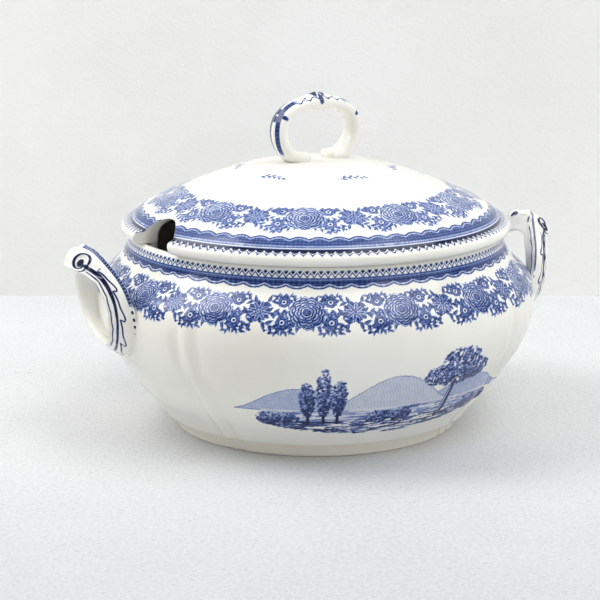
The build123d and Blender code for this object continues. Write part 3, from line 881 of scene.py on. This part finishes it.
def rough(P, rs, amp=0.5, per=5):
    """Closed outline, rounded and slightly uneven."""
    P = np.asarray(P, float)
    Q = smooth(np.vstack([P, P[:1]]), per)[:-1]
    return Q + rs.uniform(-amp, amp, Q.shape)


def twig(pen, rs, x, y, a, L, w, depth, val=0.82, leaves=0.0):
    """A branching twig."""
    b = a + rs.uniform(-0.25, 0.25)
    m = (x + L * 0.5 * math.cos(a), y + L * 0.5 * math.sin(a)); e = (m[0] + L * 0.5 * math.cos(b), m[1] + L * 0.5 * math.sin(b))
    line(pen, [(x, y), m, e], w, w * 0.65, val, per=3)
    if leaves > 0:
        for k in range(int(leaves)):
            t = rs.uniform(0.2, 1.1); px, py = x + (e[0] - x) * t + rs.uniform(-1.3, 1.3), y + (e[1] - y) * t + rs.uniform(-1.3, 1.3)
            clump(pen.at(px, py), rs, 1.9, 1.5, 5, 0.58, 0.95)
    if depth:
        for sg in (-1, 1):
            if rs.uniform() < 0.9:
                t = rs.uniform(0.55, 1.0)
                twig(pen, rs, x + (e[0] - x) * t, y + (e[1] - y) * t, b + sg * rs.uniform(0.35, 0.8), L * rs.uniform(0.55, 0.8), w * 0.62, depth - 1, val, leaves)


def strokes(pen, rs, pts, n, L, w, val, ang, spread=0.2, jx=1.0, jy=1.0):
    for i in range(n):
        x0, y0 = pts[rs.randint(len(pts))]
        x0 += rs.uniform(-jx, jx); y0 += rs.uniform(-jy, jy)
        a = ang + rs.uniform(-spread, spread); l = L * rs.uniform(0.5, 1.2)
        line(pen, [(x0, y0), (x0 + l / 2 * math.cos(a), y0 + l / 2 * math.sin(a) + rs.uniform(-0.3, 0.3)), (x0 + l * math.cos(a), y0 + l * math.sin(a))],
             w, w * 0.5, val, per=2)


def paint_landscape():
    """A plain made-up view: three low hills, a lake, a round tree, poplars and bushes."""
    sh = Sheet(-118, 118, -130, -44, 0.25)
    rs = np.random.RandomState(11)
    p = Pen(sh, (0, 0))
    for a, h, v in ((-58, 20, 0.24), (56, 18, 0.26), (0, 27, 0.18)):
        P0 = [(a - 44, -97)] + [(a + q, -97 + h * math.cos(q / 44 * PI / 2) ** 1.5) for q in range(-36, 37, 8)] + [(a + 44, -97)]
        fill_poly(p, rough(P0, rs, 0.3), v, 0.04, 0.4, 1.7, edge=0.52, ew=0.4)
    fill_poly(p, [(-84, -96), (84, -96), (80, -107), (-80, -107)], 0.14)
    for k in range(130):
        x, y, L = rs.uniform(-76, 76), -rs.uniform(97, 106), rs.uniform(5, 15)
        line(p, [(x - L / 2, y), (x, y + 0.2), (x + L / 2, y)], 0.5, 0.3, rs.uniform(0.35, 0.70))
    for k in range(340):
        x = rs.uniform(-84, 84); y = -rs.uniform(106, 108 + 13 * (1 - (x / 88) ** 2)); L = rs.uniform(4, 12)
        line(p, [(x - L / 2, y), (x, y + rs.uniform(-0.4, 0.8)), (x + L / 2, y)], rs.uniform(0.5, 1.2), 0.3, rs.uniform(0.5, 0.9))
    for x, h in ((-54, 30), (-44, 40), (-35, 32)):
        line(p, [(x, -108), (x, -100), (x + 0.2, -88)], 2.0, 1.0, 0.86)
        clump(p.at(x, -102 + h / 2), rs, 4.6, h / 2, 150, 0.58, 1.15, 0.34)
    line(p, [(40, -110), (41, -98), (40, -82)], 5.0, 2.8, 0.86); line(p, [(39.4, -108), (40.2, -98), (39.6, -86)], 1.6, 0.9, 0.25)
    for dx, dy, rx, ry, n in ((0, 10, 15, 10, 190), (-13, 2, 11, 8, 130), (13, 2, 11, 8, 130), (0, -2, 14, 7, 130)):
        clump(p.at(40 + dx, -76 + dy), rs, rx, ry, n, 0.56, 1.2, 0.36)
    for x in (-80, -68, -8, 8, 66, 80):
        clump(p.at(x, -104), rs, 8.5, 5.5, 90, 0.58, 1.15, 0.34)
    return sh


def ink_on_bowl():
    s = SO[::-1]; n = len(s)
    g = paint_bowl_garland(); la = paint_landscape()
    PH, S = np.meshgrid(phiB, s)
    x = ((PH - C_BOWL) % PERIOD) * R_G
    ink = g.read(x, -S) * sstep(50, 47, S)
    ink = np.where(S < 6.2, rim_border(S, PH, 0.3, 184, 1.0, 1.28), ink)
    out = ink
    for mid_ in (C_BOWL, C_BOWL + PI):
        d = (PH - mid_ + PI) % TAU - PI
        inside = (np.abs(d) < math.radians(50)) & (S > 45)
        out = np.where(inside, np.maximum(out, np.clip(la.read(d * R_L, -S) * 1.06, 0, 1)), out)
    return out


# ------------------------------------------------------------------ lid
C_LID = math.radians(243.9)


def paint_lid():
    sh = Sheet(-127, 127, -127, 127, 0.3)
    rs = np.random.RandomState(3)
    xx = sh.x0 + np.arange(sh.nx) * sh.res; yy = sh.y0 + np.arange(sh.ny) * sh.res
    X, Y = np.meshgrid(xx, yy)
    S = np.hypot(X, Y); PH = np.arctan2(Y, X)
    top = 116.0 - 2.0 * np.abs(np.sin(PH * 30))
    g = 0.70 + 0.11 * np.sin(S * TAU / 1.9) + 0.05 * np.sin(PH * 300)
    g = np.where(np.abs(S - 121.6) < 0.35, 0.22, g)
    g = np.where(np.abs(S - top) < 0.35, 0.86, g)
    g = np.where(np.abs(S - top - 1.6) < 0.33, 0.15, g)
    sh.ink = np.where((S > top) & (S < 123.6), np.clip(g, 0, 1), 0.0)

    def P(deg, s, rot=0.0, k=1.0):
        a = C_LID + math.radians(deg)
        return Pen(sh, (s * math.cos(a), s * math.sin(a)), a + PI / 2 + math.radians(rot), k)
    for k in range(10):
        unit(lambda d, s, rot=0.0, kk=1.0, k=k: P(d + 36.0 * k, s, rot, kk), rs, 36.0, 96.0, 12.5)
    # ring of small plain sprigs round the handle
    for k in range(6):
        sprig(P(60.0 * k + 30, 50), [(-9, 0), (0, 1.5), (9, 0)], n=8, L=5.2, W=2.2, val=0.7)
    return sh


def ink_on_lid():
    sh = paint_lid()
    S = ro_; PH = np.broadcast_to(phiL[None, :], S.shape)
    ink = sh.read(S * np.cos(PH), S * np.sin(PH)) * 0.88
    ink = ink * (S < 123.1)
    z = rim_border(S, PH, 122.9, 142, 1.0, 1.75)
    ink = np.where(S >= 122.9, z, ink)
    return np.where(S < 131.5, ink, 0.0)


# ------------------------------------------------------------------ lid handle
def ink_on_grip(lam, inr, dy, ex, ey):
    """Leafy scroll over the top of the loop. lam runs along the loop, dy across it toward the front."""
    L = np.broadcast_to(lam[:, None], inr.shape); E = np.broadcast_to(ex[None, :], inr.shape)
    out = sstep(-0.15, 0.2, E)
    ink = np.zeros(inr.shape)

    def band(v, c, h, soft=0.3):
        return np.clip((h / 2 - np.abs(v - c)) / soft + 0.5, 0, 1)
    al = np.abs(L)
    # strip down each shoulder of the loop
    on = sstep(15, 18, al) * sstep(52, 47, al)
    tick = 0.5 + 0.5 * np.sin(al * TAU / 2.2)
    for s_ in (1, -1):
        c = s_ * (3.4 + 0.5 * np.sin(al * PI / 15))
        ink = np.maximum(ink, band(dy, c, 2.8) * on * out * (0.72 + 0.2 * sstep(0.4, 0.8, tick)))
        ink = np.maximum(ink, 0.85 * (band(dy, c + 1.5, 0.5) + band(dy, c - 1.5, 0.5)) * on * out)
        # wavy line along each edge over the top
        wv_ = s_ * (5.4 + 0.9 * np.sin(L * TAU / 6.5))
        ink = np.maximum(ink, 0.85 * band(dy, wv_, 0.8) * sstep(19, 16, al) * out)
        dd = np.hypot((L % 6.5) - 3.2, dy - s_ * 3.0)
        ink = np.maximum(ink, 0.8 * np.clip((0.8 - dd) / 0.3 + 0.5, 0, 1) * sstep(17, 15, al) * out)
    # pointed leaves at the crown and a leaf knob on each shoulder
    for c0, sz in ((0.0, 6.0), (-28.0, 4.4), (28.0, 4.4)):
        u = (L - c0) / sz; v = np.abs(dy) / 6.0
        shape = np.clip((1.0 - np.abs(u) - 0.55 * v) * 4, 0, 1)
        rib = np.abs(np.abs(u) - 0.35 * v) < 0.09
        ink = np.maximum(ink, shape * np.where(rib, 0.15, 0.88) * out)
    return ink * 0.88

# ------------------------------------------------------------------ shader helpers
class NT:
    def __init__(self, name):
        self.mat = bpy.data.materials.new(name)
        self.mat.use_nodes = True
        self.nt = self.mat.node_tree
        self.bsdf = self.nt.nodes["Principled BSDF"]
        self.out = self.nt.nodes["Material Output"]

    def put(self, sock, v):
        if hasattr(v, "is_linked") or hasattr(v, "links"):
            self.nt.links.new(v, sock)
        else:
            sock.default_value = v

    def m(self, op, *a, clamp=False):
        n = self.nt.nodes.new("ShaderNodeMath"); n.operation = op; n.use_clamp = clamp
        for i, v in enumerate(a):
            self.put(n.inputs[i], v)
        return n.outputs[0]

    def attr(self, name):
        n = self.nt.nodes.new("ShaderNodeAttribute"); n.attribute_name = name
        return n.outputs["Fac"]

    def coord(self):
        n = self.nt.nodes.new("ShaderNodeTexCoord")
        return n.outputs["Object"]

    def noise(self, scale, detail=2.0, rough=0.5, vec=None):
        n = self.nt.nodes.new("ShaderNodeTexNoise")
        n.inputs["Scale"].default_value = scale; n.inputs["Detail"].default_value = detail
        n.inputs["Roughness"].default_value = rough
        self.nt.links.new(vec if vec is not None else self.coord(), n.inputs["Vector"])
        return n.outputs["Fac"]

    def ss(self, v, a, b, c=0.0, d=1.0, kind="SMOOTHSTEP"):
        n = self.nt.nodes.new("ShaderNodeMapRange"); n.interpolation_type = kind; n.clamp = True if kind == "LINEAR" else n.clamp
        self.put(n.inputs["Value"], v)
        n.inputs["From Min"].default_value = a; n.inputs["From Max"].default_value = b
        n.inputs["To Min"].default_value = c; n.inputs["To Max"].default_value = d
        return n.outputs["Result"]

    def ramp(self, v, stops):
        n = self.nt.nodes.new("ShaderNodeValToRGB")
        cr = n.color_ramp
        while len(cr.elements) < len(stops):
            cr.elements.new(0.5)
        for e, (p, c) in zip(cr.elements, stops):
            e.position = p; e.color = (*c, 1.0)
        self.put(n.inputs["Fac"], v)
        return n.outputs["Color"]

    def mix(self, f, a, b, mode="MIX"):
        n = self.nt.nodes.new("ShaderNodeMix"); n.data_type = "RGBA"; n.blend_type = mode
        self.put(n.inputs["Factor"], f)
        ca = [s for s in n.inputs if s.name == "A" and s.type == "RGBA"][0]
        cb = [s for s in n.inputs if s.name == "B" and s.type == "RGBA"][0]
        self.put(ca, a if not isinstance(a, tuple) else (*a, 1.0)) if not isinstance(a, tuple) else setattr(ca, "default_value", (*a, 1.0))
        self.put(cb, b) if not isinstance(b, tuple) else setattr(cb, "default_value", (*b, 1.0))
        return [s for s in n.outputs if s.type == "RGBA"][0]

    def bump(self, h, dist=0.001, strength=1.0):
        n = self.nt.nodes.new("ShaderNodeBump")
        n.inputs["Strength"].default_value = strength; n.inputs["Distance"].default_value = dist
        self.nt.links.new(h, n.inputs["Height"])
        return n.outputs["Normal"]


def lin(c):
    c = np.asarray(c, float)
    return tuple(np.where(c <= 0.04045, c / 12.92, ((c + 0.055) / 1.055) ** 2.4))


CREAM = lin((0.935, 0.931, 0.905))
CREAM2 = lin((0.908, 0.902, 0.868))
INK0 = lin((0.62, 0.67, 0.80))
INK1 = lin((0.36, 0.455, 0.69))
INK2 = lin((0.15, 0.235, 0.465))
INK3 = lin((0.030, 0.055, 0.19))


def glaze_base(n, warm=0.25):
    """Cream glaze: slow warm drift and a very fine speckle, as a colour socket."""
    slow = n.noise(14.0, 3.0, 0.55)
    c = n.mix(n.ss(slow, 0.35, 0.75), CREAM, CREAM2)
    spk = n.noise(900.0, 1.0, 0.4)
    return n.mix(n.ss(spk, 0.70, 0.80, 0.0, warm), c, lin((0.80, 0.76, 0.68)))


def glaze_surface(n, rough=0.13):
    """Gloss with the faint waviness of a fired glaze."""
    w = n.noise(55.0, 2.0, 0.5)
    f = n.noise(420.0, 2.0, 0.6)
    h = n.m("ADD", n.m("MULTIPLY", w, 1.0), n.m("MULTIPLY", f, 0.10))
    n.nt.links.new(n.bump(h, 0.0011, 0.20), n.bsdf.inputs["Normal"])
    r = n.noise(90.0, 2.0, 0.5)
    n.nt.links.new(n.ss(r, 0.3, 0.7, rough * 0.8, rough * 1.35), n.bsdf.inputs["Roughness"])
    n.bsdf.inputs["IOR"].default_value = 1.5
    n.bsdf.inputs["Specular IOR Level"].default_value = 0.40


def printed(name, ink="ink", rough=0.13, soft=True):
    """Glazed ware with blue printing under the glaze. The ink attribute runs from 0, bare, to 1, darkest."""
    n = NT(name)
    base = glaze_base(n)
    v = n.attr(ink)
    # engraved stipple: the tone breaks into fine marks
    fine = n.noise(1500.0, 1.0, 0.5)
    coarse = n.noise(300.0, 2.0, 0.5)
    brk = n.m("ADD", n.m("MULTIPLY", n.m("SUBTRACT", fine, 0.5), 0.34), n.m("MULTIPLY", n.m("SUBTRACT", coarse, 0.5), 0.22))
    amt = n.m("MULTIPLY", v, n.m("SUBTRACT", 1.15, v))
    t = n.m("ADD", v, n.m("MULTIPLY", brk, n.m("MULTIPLY", amt, 2.4)), clamp=True)
    ink_c = n.ramp(t, [(0.0, INK0), (0.26, INK0), (0.45, INK1), (0.65, INK2), (0.90, INK3)])
    col = n.mix(n.ss(t, 0.02, 0.30), base, ink_c)
    n.nt.links.new(col, n.bsdf.inputs["Base Color"])
    glaze_surface(n, rough)
    return n


def plain(name, rough=0.14, tint=None):
    n = NT(name)
    c = glaze_base(n, 0.4)
    if tint:
        c = n.mix(1.0, c, tint, "MULTIPLY")
    n.nt.links.new(c, n.bsdf.inputs["Base Color"])
    glaze_surface(n, rough)
    return n

# ------------------------------------------------------------------ build the pieces
MAT_BOWL = printed("bowl_glaze_print")
MAT_LID = printed("lid_glaze_print")
MAT_EAR = printed("handle_glaze_line")
MAT_GRIP = printed("lid_handle_glaze_line")
# painted shade: the foot glaze is tinted warmer and a little darker, standing in for the shade and warm reflected light
# under the bowl
MAT_FOOT = plain("foot_glaze", 0.14, (0.985, 0.955, 0.895))
MAT_FL = plain("flange_glaze", 0.2)

inkB = np.zeros(len(BOWL["verts"]))
inkB[n_under * NB:(n_under + n_out) * NB] = ink_on_bowl().reshape(-1)
ob_bowl = fast_mesh("v_bowl", BOWL["verts"], BOWL["quads"], BOWL["tris"], {"ink": inkB})
ob_bowl.data.materials.append(MAT_BOWL.mat)
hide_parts("bowl"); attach(ob_bowl, "tureen")

inkL = np.zeros(len(LIDG["verts"]))
inkL[:nro * NL] = ink_on_lid().reshape(-1)
ob_lid = fast_mesh("v_lid", LIDG["verts"], LIDG["quads"], LIDG["tris"], {"ink": inkL})
ob_lid.data.materials.append(MAT_LID.mat)
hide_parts("lid"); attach(ob_lid, "cover")

ob_fl = make_mesh("v_lid_flange", vf, [list(x) for x in ff.tolist()] + [endA, endB[::-1]], {})
ob_fl.data.materials.append(MAT_FL.mat)
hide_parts("lid_flange"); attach(ob_fl, "cover")

ob_ft = fast_mesh("v_foot_ring", vr, frf, np.zeros((0, 3), int), {})
ob_ft.data.materials.append(MAT_FOOT.mat)
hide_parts("foot_ring"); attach(ob_ft, "tureen")

for side, nm in ((1, "handle_right"), (-1, "handle_left")):
    X, Y, Z, Lq, Wq, face, wid, ns_, nt_ = build_ear(side)
    ve = np.stack([X * side, Y, Z], -1).reshape(-1, 3)
    fe = grid_faces(nt_, ns_, wrap_c=True, wrap_r=True, flip=(side < 0))
    ink = ink_on_ear(Lq, Wq, face, wid)
    ob = fast_mesh("v_" + nm, ve, fe, np.zeros((0, 3), int), {"ink": ink})
    ob.data.materials.append(MAT_EAR.mat)
    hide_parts(nm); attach(ob, "tureen")

X, Y, Z, lam, inr, dy, ex, ey, ns_, nt_ = build_grip()
vg = np.stack([X, Y, Z], -1).reshape(-1, 3)
fg = grid_faces(nt_, ns_, wrap_c=True, wrap_r=False, flip=False)
nvg = len(vg)
vg = np.vstack([vg, vg[:ns_].mean(0), vg[-ns_:].mean(0)])
k = np.arange(ns_)
tg = np.vstack([np.stack([k, np.full(ns_, nvg), (k + 1) % ns_], -1)[:, ::1],
                np.stack([(nt_ - 1) * ns_ + k, (nt_ - 1) * ns_ + (k + 1) % ns_, np.full(ns_, nvg + 1)], -1)])
inkg = np.r_[ink_on_grip(lam, inr, dy, ex, ey).reshape(-1), 0, 0]
ob_g = fast_mesh("v_lid_handle", vg, fg, tg, {"ink": inkg})
ob_g.data.materials.append(MAT_GRIP.mat)
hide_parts("lid_handle"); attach(ob_g, "cover")

# ------------------------------------------------------------------ floor and backdrop
def plane_mesh(name, co):
    return make_mesh(name, np.array(co, float), np.array([[0, 1, 2, 3]]), smooth=False)


floor = plane_mesh("floor", [(-3000, -3000, 0), (3000, -3000, 0), (3000, 3000, 0), (-3000, 3000, 0)])
CAM_AZ = math.radians(22.0)
wv = np.array([math.sin(CAM_AZ), math.cos(CAM_AZ)])             # horizontal view direction
wr = np.array([math.cos(CAM_AZ), -math.sin(CAM_AZ)])
WALL_D = 345.0
wc = wv * WALL_D
wall = plane_mesh("wall", [(*(wc - wr * 3000), -5), (*(wc + wr * 3000), -5), (*(wc + wr * 3000), 2600), (*(wc - wr * 3000), 2600)])
nf = NT("floor_stone")
c1 = nf.noise(6.0, 5.0, 0.6); c2 = nf.noise(420.0, 4.0, 0.75)
colf = nf.mix(nf.ss(c1, 0.3, 0.7), lin((0.815, 0.822, 0.828)), lin((0.845, 0.85, 0.855)))
colf = nf.mix(nf.ss(c2, 0.42, 0.60, 0.0, 0.60), colf, lin((0.90, 0.902, 0.902)))
sp = nf.nt.nodes.new("ShaderNodeSeparateXYZ"); nf.nt.links.new(nf.coord(), sp.inputs[0])
# painted shade: the floor colour is darkened by about a fifth toward the camera, from 2 cm to 34 cm in front of the
# centre
floor_front_shade = nf.m("ADD", nf.m("MULTIPLY", sp.outputs[0], float(-wv[0])), nf.m("MULTIPLY", sp.outputs[1], float(-wv[1])))
spk = nf.noise(260.0, 2.0, 0.6)
colf = nf.mix(nf.ss(spk, 0.60, 0.72, 0.0, 0.28), colf, lin((0.62, 0.63, 0.63)))
colf = nf.mix(nf.ss(floor_front_shade, 0.02, 0.34), colf, nf.mix(1.0, colf, (0.815, 0.815, 0.82), "MULTIPLY"))
nf.nt.links.new(colf, nf.bsdf.inputs["Base Color"])
nf.bsdf.inputs["Roughness"].default_value = 0.75
nf.nt.links.new(nf.bump(nf.m("ADD", nf.m("MULTIPLY", c2, 0.6), nf.m("MULTIPLY", nf.noise(600.0, 3.0, 0.7), 0.4)), 0.0012, 0.85), nf.bsdf.inputs["Normal"])
floor.data.materials.append(nf.mat)
nw = NT("backdrop_canvas")
w1 = nw.noise(5.0, 5.0, 0.6)
colw = nw.mix(nw.ss(w1, 0.3, 0.7), lin((0.925, 0.925, 0.912)), lin((0.95, 0.95, 0.94)))
nw.nt.links.new(colw, nw.bsdf.inputs["Base Color"])
nw.bsdf.inputs["Roughness"].default_value = 0.85
nw.bsdf.inputs["Emission Color"].default_value = (1.0, 1.0, 0.99, 1.0); nw.bsdf.inputs["Emission Strength"].default_value = 0.0
mp = nw.nt.nodes.new("ShaderNodeMapping"); mp.inputs["Scale"].default_value = (1.6, 1.6, 2.4)
nw.nt.links.new(nw.coord(), mp.inputs["Vector"])
nz = nw.noise(170.0, 4.0, 0.7, vec=mp.outputs[0])
nw.nt.links.new(nw.bump(nz, 0.0014, 0.35), nw.bsdf.inputs["Normal"])
wall.data.materials.append(nw.mat)

# ------------------------------------------------------------------ light
def area(name, loc, target, size, power, color=(1, 1, 1), size_y=None):
    L = bpy.data.lights.new(name, "AREA"); L.energy = power; L.color = color
    L.shape = "RECTANGLE"; L.size = size; L.size_y = size_y or size
    o = bpy.data.objects.new(name, L); bpy.context.scene.collection.objects.link(o)
    o.location = Vector(loc); d = Vector(target) - Vector(loc)
    o.rotation_euler = d.to_track_quat("-Z", "Y").to_euler()
    return o


def world_dir(right, toward, up):
    """Offsets given to the right of, toward and above the camera's line, in metres."""
    return (wr[0] * right - wv[0] * toward, wr[1] * right - wv[1] * toward, up)


area("window_back_left", world_dir(-1.2, -0.15, 1.3), (0, 0, 0.08), 1.2, 25.0, (1.0, 1.0, 0.995))
area("right_high", world_dir(1.0, 0.5, 1.7), (0, 0, 0.08), 1.4, 17.5, (0.985, 0.992, 1.0))
area("top_soft", world_dir(0.0, 0.1, 1.9), (0, 0, 0.1), 2.2, 10.8, (1.0, 1.0, 1.0))
area("low_front", world_dir(0.3, 2.2, 0.4), (0, 0, 0.08), 1.4, 8.0, (1.0, 0.995, 0.985))
area("low_left", world_dir(-1.8, 0.9, 0.45), (0, 0, 0.08), 1.2, 3.5, (1.0, 1.0, 1.0))
area("fill_right", world_dir(1.5, 0.8, 0.9), (0, 0, 0.08), 1.6, 6.2, (0.96, 0.98, 1.0))
W = bpy.data.worlds.new("World"); bpy.context.scene.world = W; W.use_nodes = True
bg = W.node_tree.nodes["Background"]
bg.inputs["Color"].default_value = (0.98, 0.99, 1.0, 1.0); bg.inputs["Strength"].default_value = 0.22

# ------------------------------------------------------------------ camera
cam_d = bpy.data.cameras.new("camera"); cam = bpy.data.objects.new("camera", cam_d)
bpy.context.scene.collection.objects.link(cam); bpy.context.scene.camera = cam
TH, PH, DIST, FPX, CX, CY = math.radians(22.006), math.radians(12.519), 1232.0, 1923.6, 315.85, 282.22
back = Vector((-math.sin(TH) * math.cos(PH), -math.cos(TH) * math.cos(PH), math.sin(PH)))
cam.location = (Vector((0, 0, 88.0)) + back * DIST) / 1000.0
cam.rotation_mode = "QUATERNION"; cam.rotation_quaternion = (-back).to_track_quat("-Z", "Y")
cam_d.sensor_width = 36.0; cam_d.lens = FPX / 600.0 * 36.0
cam_d.shift_x = (300.0 - CX) / 600.0; cam_d.shift_y = (CY - 300.0) / 600.0
cam_d.clip_start, cam_d.clip_end = 0.02, 20.0
cam_d.dof.use_dof = False

sc = bpy.context.scene
sc.view_settings.view_transform = "Standard"
sc.view_settings.look = "None"
sc.view_settings.exposure = 0.0
